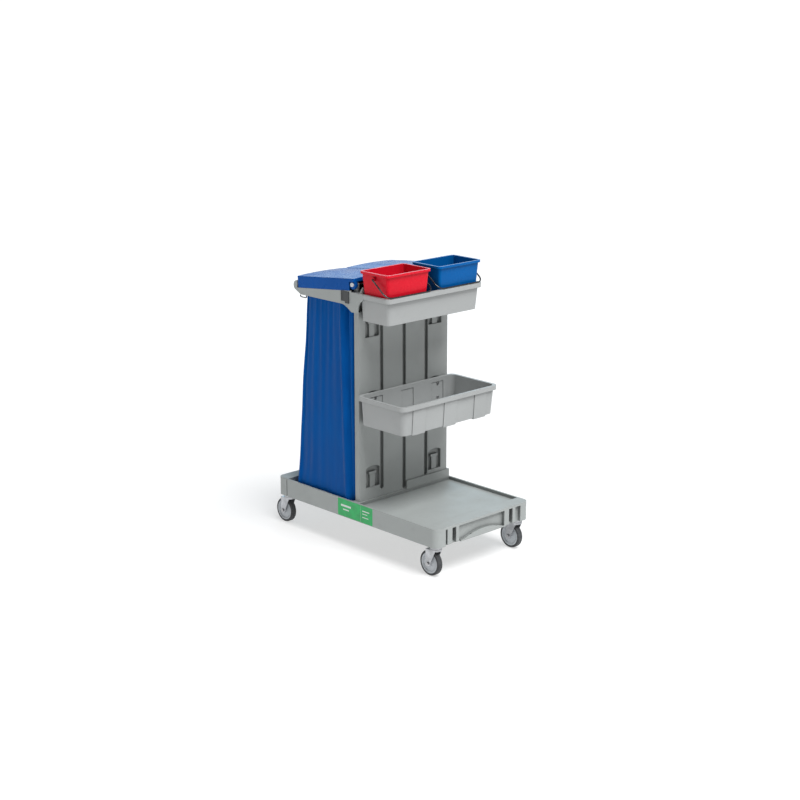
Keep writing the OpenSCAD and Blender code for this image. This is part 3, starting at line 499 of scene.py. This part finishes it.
def foldDepths(seed):
    rnd = random.Random(seed)
    folds = []
    for i in range(bagFolds["count"]):
        folds.append({
            "at": (i + rnd.uniform(-0.3, 0.3)) / bagFolds["count"],
            "drift": rnd.uniform(-0.02, 0.02),
            "depth": rnd.uniform(*bagFolds["depth"]) * rnd.choice((1, 1, -bagFolds["bulge"])),
            "width": rnd.uniform(*bagFolds["width"]),
            "reach": rnd.uniform(0.25, 1.1),
        })
    return folds


def makeBag(name, side, seed):
    s = bagSizes
    counts = s["sidePoints"]
    top, normals = loopPoints(s["hoopX"], s["hoopY"], s["hoopBend"], counts)
    low, _ = loopPoints(s["floorX"], s["floorY"], s["floorBend"], counts)
    around = len(top)
    folds = foldDepths(seed)
    length = 2 * (s["hoopX"][1] - s["hoopX"][0] + s["hoopY"][1] - s["hoopY"][0])
    front = bagFolds["frontFold"]
    verts = []
    faces = []
    # over the hoop, from its outer side across the top to its inner side
    for a in s["wrapAngles"]:
        out = s["wrap"] * math.cos(math.radians(a))
        up = s["wrap"] * math.sin(math.radians(a))
        for (x, y), (nx, ny) in zip(top, normals):
            verts.append(inLidPlane(x + nx * out, side * (y + ny * out), s["hoopZ"] + up))
    for j in range(1, s["rings"] + 1):
        t = j / s["rings"]
        tuck = max(0.0, (t - s["tuckFrom"]) / (1 - s["tuckFrom"]))
        for i, ((x, y), (nx, ny)) in enumerate(zip(top, normals)):
            p = inLidPlane(x - nx * s["wrap"], side * (y - ny * s["wrap"]), s["hoopZ"])
            q = Vector((low[i][0], side * low[i][1], s["floorZ"]))
            at = p.lerp(q, t)
            n = Vector((nx, side * ny, 0))
            u = i / around
            push = 0.0
            for f in folds:
                d = (u - f["at"] - f["drift"] * t + 0.5) % 1 - 0.5
                strength = max(0.0, 1 - t / f["reach"]) ** 1.2 * min(1.0, t / 0.05)
                push -= f["depth"] * strength * math.exp(-(d * length / f["width"]) ** 2)
            if i < counts[0] + counts[2]:
                along = i / (counts[0] + counts[2])
                middle = front["start"] + (front["end"] - front["start"]) * t ** 0.8
                d = (along - middle) * (s["hoopX"][1] - s["hoopX"][0])
                fade = min(1.0, t / 0.04) * (1 - 0.45 * t)
                push -= front["depth"] * fade * math.exp(-(d / front["width"]) ** 2)
                lip = math.exp(-((d + front["lipAside"]) / front["lipWidth"]) ** 2)
                push += front["lip"] * front["depth"] * fade * lip
            push += s["crumple"] * noise.noise(Vector((x * 9, y * 9 + seed, t * 5))) * min(1, t * 6)
            full = math.sin(math.pi * min(1, t / s["tuckFrom"])) ** 2
            push += s["belly"] * full * (0.3 if ny < 0 else 1)
            push -= s["tuckDepth"] * (1 - math.sqrt(max(0.0, 1 - tuck * tuck)))
            verts.append(at + n * push)
    rows = len(s["wrapAngles"]) + s["rings"]
    for j in range(rows - 1):
        for i in range(around):
            k = (i + 1) % around
            quad = (j * around + i, j * around + k, (j + 1) * around + k, (j + 1) * around + i)
            faces.append(quad if side < 0 else quad[::-1])
    # floor of the bag: rings that close in on the middle
    last = (rows - 1) * around
    centre = sum((verts[last + i] for i in range(around)), Vector()) / around
    previous = last
    for step in range(1, s["floorRings"] + 1):
        f = 1 - step / (s["floorRings"] + 1)
        start = len(verts)
        for i in range(around):
            edge = verts[last + i]
            p = centre + (edge - centre) * f
            p.z = s["floorZ"] - s["floorDrop"]
            verts.append(p)
        for i in range(around):
            k = (i + 1) % around
            quad = (previous + i, previous + k, start + k, start + i)
            faces.append(quad if side < 0 else quad[::-1])
        previous = start
    verts.append(Vector((centre.x, centre.y, s["floorZ"] - s["floorDrop"])))
    for i in range(around):
        k = (i + 1) % around
        tri = (previous + i, previous + k, len(verts) - 1)
        faces.append(tri if side < 0 else tri[::-1])
    mesh = bpy.data.meshes.new(name)
    mesh.from_pydata([tuple(v) for v in verts], [], faces)
    uv = mesh.uv_layers.new(name="cloth")
    for poly in mesh.polygons:
        cols = [mesh.loops[k].vertex_index for k in poly.loop_indices]
        inWall = max(cols) < rows * around
        for k in poly.loop_indices:
            vi = mesh.loops[k].vertex_index
            co = mesh.vertices[vi].co
            if inWall:
                i = vi % around
                if i == 0 and max(c % around for c in cols) == around - 1:
                    i = around
                uv.data[k].uv = (i / around * length, co.z)
            else:
                uv.data[k].uv = (co.x, co.y)
    mesh.update()
    obj = bpy.data.objects.new(name, mesh)
    scene.collection.objects.link(obj)
    return obj, around, len(s["wrapAngles"])


stitchLook = {
    "spacing": 0.0052,
    "length": 0.0036,
    "thickness": 0.0007,
    "below": 3,                  # rings of cloth between the hoop and the hem's seam
    "short": 8,                  # rings that the upright seam ends above the bag's bottom
    "lift": 0.3,                 # how far a stitch stands off the cloth, in thicknesses
    "segments": 6,
    "rings": 5,
}


def stitchTree():
    # thread stitches laid end to end along a path of edges
    tree = bpy.data.node_groups.new("stitchesAlongSeam", "GeometryNodeTree")
    face = tree.interface
    face.new_socket(name="Seam", in_out="INPUT", socket_type="NodeSocketGeometry")
    sockets = {}
    for label, kind in (("Spacing", "NodeSocketFloat"), ("Stitch Length", "NodeSocketFloat"),
                        ("Thickness", "NodeSocketFloat"), ("Thread", "NodeSocketMaterial")):
        sockets[label] = face.new_socket(name=label, in_out="INPUT", socket_type=kind).identifier
    face.new_socket(name="Stitches", in_out="OUTPUT", socket_type="NodeSocketGeometry")
    start = tree.nodes.new("NodeGroupInput")
    end = tree.nodes.new("NodeGroupOutput")
    path = tree.nodes.new("GeometryNodeMeshToCurve")
    tree.links.new(start.outputs["Seam"], path.inputs[0])
    points = tree.nodes.new("GeometryNodeResampleCurve")
    points.mode = "LENGTH"
    tree.links.new(path.outputs[0], points.inputs["Curve"])
    tree.links.new(start.outputs["Spacing"], points.inputs["Length"])
    ball = tree.nodes.new("GeometryNodeMeshUVSphere")
    ball.inputs["Segments"].default_value = stitchLook["segments"]
    ball.inputs["Rings"].default_value = stitchLook["rings"]
    ball.inputs["Radius"].default_value = 0.5
    size = tree.nodes.new("ShaderNodeCombineXYZ")
    tree.links.new(start.outputs["Stitch Length"], size.inputs["X"])
    tree.links.new(start.outputs["Thickness"], size.inputs["Y"])
    tree.links.new(start.outputs["Thickness"], size.inputs["Z"])
    stitch = tree.nodes.new("GeometryNodeTransform")
    tree.links.new(ball.outputs["Mesh"], stitch.inputs["Geometry"])
    tree.links.new(size.outputs[0], stitch.inputs["Scale"])
    tangent = tree.nodes.new("GeometryNodeInputTangent")
    align = tree.nodes.new("FunctionNodeAlignRotationToVector")
    align.axis = "X"
    tree.links.new(tangent.outputs[0], align.inputs["Vector"])
    place = tree.nodes.new("GeometryNodeInstanceOnPoints")
    tree.links.new(points.outputs[0], place.inputs["Points"])
    tree.links.new(stitch.outputs[0], place.inputs["Instance"])
    tree.links.new(align.outputs[0], place.inputs["Rotation"])
    real = tree.nodes.new("GeometryNodeRealizeInstances")
    tree.links.new(place.outputs[0], real.inputs[0])
    finish = tree.nodes.new("GeometryNodeSetMaterial")
    tree.links.new(real.outputs[0], finish.inputs["Geometry"])
    tree.links.new(start.outputs["Thread"], finish.inputs["Material"])
    tree.links.new(finish.outputs[0], end.inputs[0])
    return tree, sockets


def smoothShade(mesh):
    for p in mesh.polygons:
        p.use_smooth = True


def sewSeams(name, paths, tree, sockets):
    # each path is a list of points; a closed one ends where it starts
    verts = []
    edges = []
    for points in paths:
        first = len(verts)
        verts += [tuple(p) for p in points]
        edges += [(first + i, first + i + 1) for i in range(len(points) - 1)]
    seam = bpy.data.meshes.new(name + "Path")
    seam.from_pydata(verts, edges, [])
    obj = bpy.data.objects.new(name, seam)
    scene.collection.objects.link(obj)
    mod = obj.modifiers.new("stitches", "NODES")
    mod.node_group = tree
    mod[sockets["Spacing"]] = stitchLook["spacing"]
    mod[sockets["Stitch Length"]] = stitchLook["length"]
    mod[sockets["Thickness"]] = stitchLook["thickness"]
    mod[sockets["Thread"]] = thread
    made = bpy.data.meshes.new_from_object(obj.evaluated_get(bpy.context.evaluated_depsgraph_get()))
    obj.modifiers.remove(mod)
    obj.data = made
    smoothShade(made)
    return obj


def bagSeams(bag, around, wrapRows):
    # the hem under the hoop, and an upright seam at the bag's outer rear corner
    co = [v.co.copy() for v in bag.data.vertices]
    normals = [v.normal.copy() for v in bag.data.vertices]
    lift = stitchLook["thickness"] * stitchLook["lift"]

    def at(row, i):
        k = row * around + i % around
        return co[k] + normals[k] * lift

    hemRow = wrapRows + stitchLook["below"]
    hem = [at(hemRow, i) for i in range(around + 1)]
    corner = around - bagSizes["sidePoints"][2] // 2
    last = wrapRows + bagSizes["rings"] - stitchLook["short"]
    upright = [at(row, corner) for row in range(hemRow, last)]
    return [hem, upright]


def hangCloth(obj, around, wrapRows):
    # a short drop under gravity, held at the hoop and at the floor
    start = [v.co.copy() for v in obj.data.vertices]
    held = obj.vertex_groups.new(name="held")
    lowest = bagSizes["floorZ"] + clothSettings["heldFloor"]
    top = (wrapRows + clothSettings["heldRings"]) * around
    pins = [v.index for v in obj.data.vertices if v.index < top or v.co.z < lowest]
    held.add(pins, 1.0, "REPLACE")
    mod = obj.modifiers.new("Cloth", "CLOTH")
    c = mod.settings
    c.quality = clothSettings["quality"]
    c.mass = clothSettings["mass"]
    c.tension_stiffness = clothSettings["stretch"]
    c.compression_stiffness = clothSettings["stretch"]
    c.shear_stiffness = clothSettings["shear"]
    c.bending_stiffness = clothSettings["bend"]
    c.air_damping = clothSettings["air"]
    c.vertex_group_mass = "held"
    c.shrink_min = clothSettings["extra"]
    mod.collision_settings.use_collision = False
    mod.point_cache.frame_start = 1
    mod.point_cache.frame_end = clothSettings["frames"]
    for f in range(1, clothSettings["frames"] + 1):
        scene.frame_set(f)
    dg = bpy.context.evaluated_depsgraph_get()
    moved = [v.co.copy() for v in obj.evaluated_get(dg).data.vertices]
    obj.modifiers.remove(mod)
    obj.vertex_groups.remove(held)
    scene.frame_set(1)
    far = clothSettings["furthest"]
    for v, a, b in zip(obj.data.vertices, start, moved):
        d = b - a
        if d.length > far:
            d = d.normalized() * (far + (d.length - far) * 0.1)
            d = d.normalized() * min(d.length, far * 1.3)
        v.co = a + d
    obj.data.update()


def keepClear(obj, side):
    # the cloth stays off the panel, the other bag and the base's walls
    for v in obj.data.vertices:
        y = side * v.co.y
        if v.co.z < clearOf["gapBelow"]:
            y = max(y, clearOf["gap"])
        for below, widest, furthest in clearOf["bands"]:
            if v.co.z < below:
                y = min(y, widest)
                v.co.x = min(v.co.x, furthest)
                break
        v.co.y = side * y
    obj.data.update()


stitches, threadSockets = stitchTree()
for bagName, side, seed in (("bagNear", -1, 11), ("bagFar", 1, 29)):
    bag, around, wrapRows = makeBag(bagName, side, seed)
    hangCloth(bag, around, wrapRows)
    keepClear(bag, side)
    seams = sewSeams(bagName + "Stitches", bagSeams(bag, around, wrapRows), stitches, threadSockets)
    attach(seams, "cart")
    bag.data.materials.append(cloth)
    smoothShade(bag.data)
    wall = bag.modifiers.new("wall", "SOLIDIFY")
    wall.thickness = bagSizes["thickness"]
    wall.offset = -1
    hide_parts("bag_near" if side < 0 else "bag_far")
    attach(bag, "cart")
    say(bagName + " hung")


studio = {
    "floorSize": 300.0,
    "floorTone": (0.5, 0.5, 0.5),
    "floorShade": 0.985,
    "floorGlow": 0.52,           # keeps the shadow on the floor pale
    "sky": 0.27,                 # light from the white surroundings
    "backdrop": 1.0,             # how bright they look behind the cart
    "sun": {"from": (0.5, -0.02, 0.87), "strength": 3.2, "spread": 34},
    "lamp": {"at": (-3.6, 3.4, 3.0), "size": 3.4, "watts": 42, "colour": (0.6, 0.85, 1.0)},
    "aim": (0, 0, 0.5),
}

view = {
    "at": (4.579, -4.338, 2.270),
    "down": 15.19,               # degrees below level
    "round": 46.45,              # degrees from the cart's side
    "lens": 74.6,
    "sensor": 36,
    "farthest": 900,
}

floorMesh = bpy.data.meshes.new("studioFloor")
h = studio["floorSize"]
floorMesh.from_pydata([(-h, -h, 0), (h, -h, 0), (h, h, 0), (-h, h, 0)], [], [(0, 1, 2, 3)])
floor = bpy.data.objects.new("studioFloor", floorMesh)
scene.collection.objects.link(floor)
floorMat, t, shader = startMaterial("studioFloorPaper")
paper = cloud(t, objectCoords(t), 0.8, 3)
tone = studio["floorTone"]
t.links.new(blendColour(t, paper, shadeOf(tone, studio["floorShade"]), tone), shader.inputs["Base Color"])
shader.inputs["Roughness"].default_value = 0.8
shader.inputs["Specular IOR Level"].default_value = 0.1
shader.inputs["Emission Color"].default_value = (1, 1, 1, 1)
shader.inputs["Emission Strength"].default_value = studio["floorGlow"]
floorMesh.materials.append(floorMat)

world = bpy.data.worlds.new("studio")
world.use_nodes = True
background = world.node_tree.nodes["Background"]
background.inputs["Color"].default_value = (1, 1, 1, 1)
seen = node(world.node_tree, "ShaderNodeLightPath")
level = remap(world.node_tree, seen.outputs["Is Camera Ray"], 0, 1, studio["sky"], studio["backdrop"])
world.node_tree.links.new(level, background.inputs["Strength"])
scene.world = world

sunData = bpy.data.lights.new("softSun", "SUN")
sunData.energy = studio["sun"]["strength"]
sunData.angle = math.radians(studio["sun"]["spread"])
sun = bpy.data.objects.new("softSun", sunData)
sun.rotation_euler = Vector(studio["sun"]["from"]).to_track_quat("Z", "Y").to_euler()
sun.location = (2, 0, 4)
scene.collection.objects.link(sun)

lampData = bpy.data.lights.new("backLamp", "AREA")
lampData.shape = "DISK"
lampData.size = studio["lamp"]["size"]
lampData.energy = studio["lamp"]["watts"]
lampData.color = studio["lamp"]["colour"]
lamp = bpy.data.objects.new("backLamp", lampData)
lamp.location = studio["lamp"]["at"]
aim = Vector(studio["aim"]) - Vector(studio["lamp"]["at"])
lamp.rotation_euler = aim.to_track_quat("-Z", "Y").to_euler()
scene.collection.objects.link(lamp)

camData = bpy.data.cameras.new("camera")
camData.lens = view["lens"]
camData.sensor_width = view["sensor"]
camData.clip_end = view["farthest"]
cam = bpy.data.objects.new("camera", camData)
cam.location = view["at"]
cam.rotation_euler = (math.radians(90 - view["down"]), 0, math.radians(view["round"]))
scene.collection.objects.link(cam)
scene.camera = cam
scene.view_settings.view_transform = "Standard"
say("floor, light and camera set")
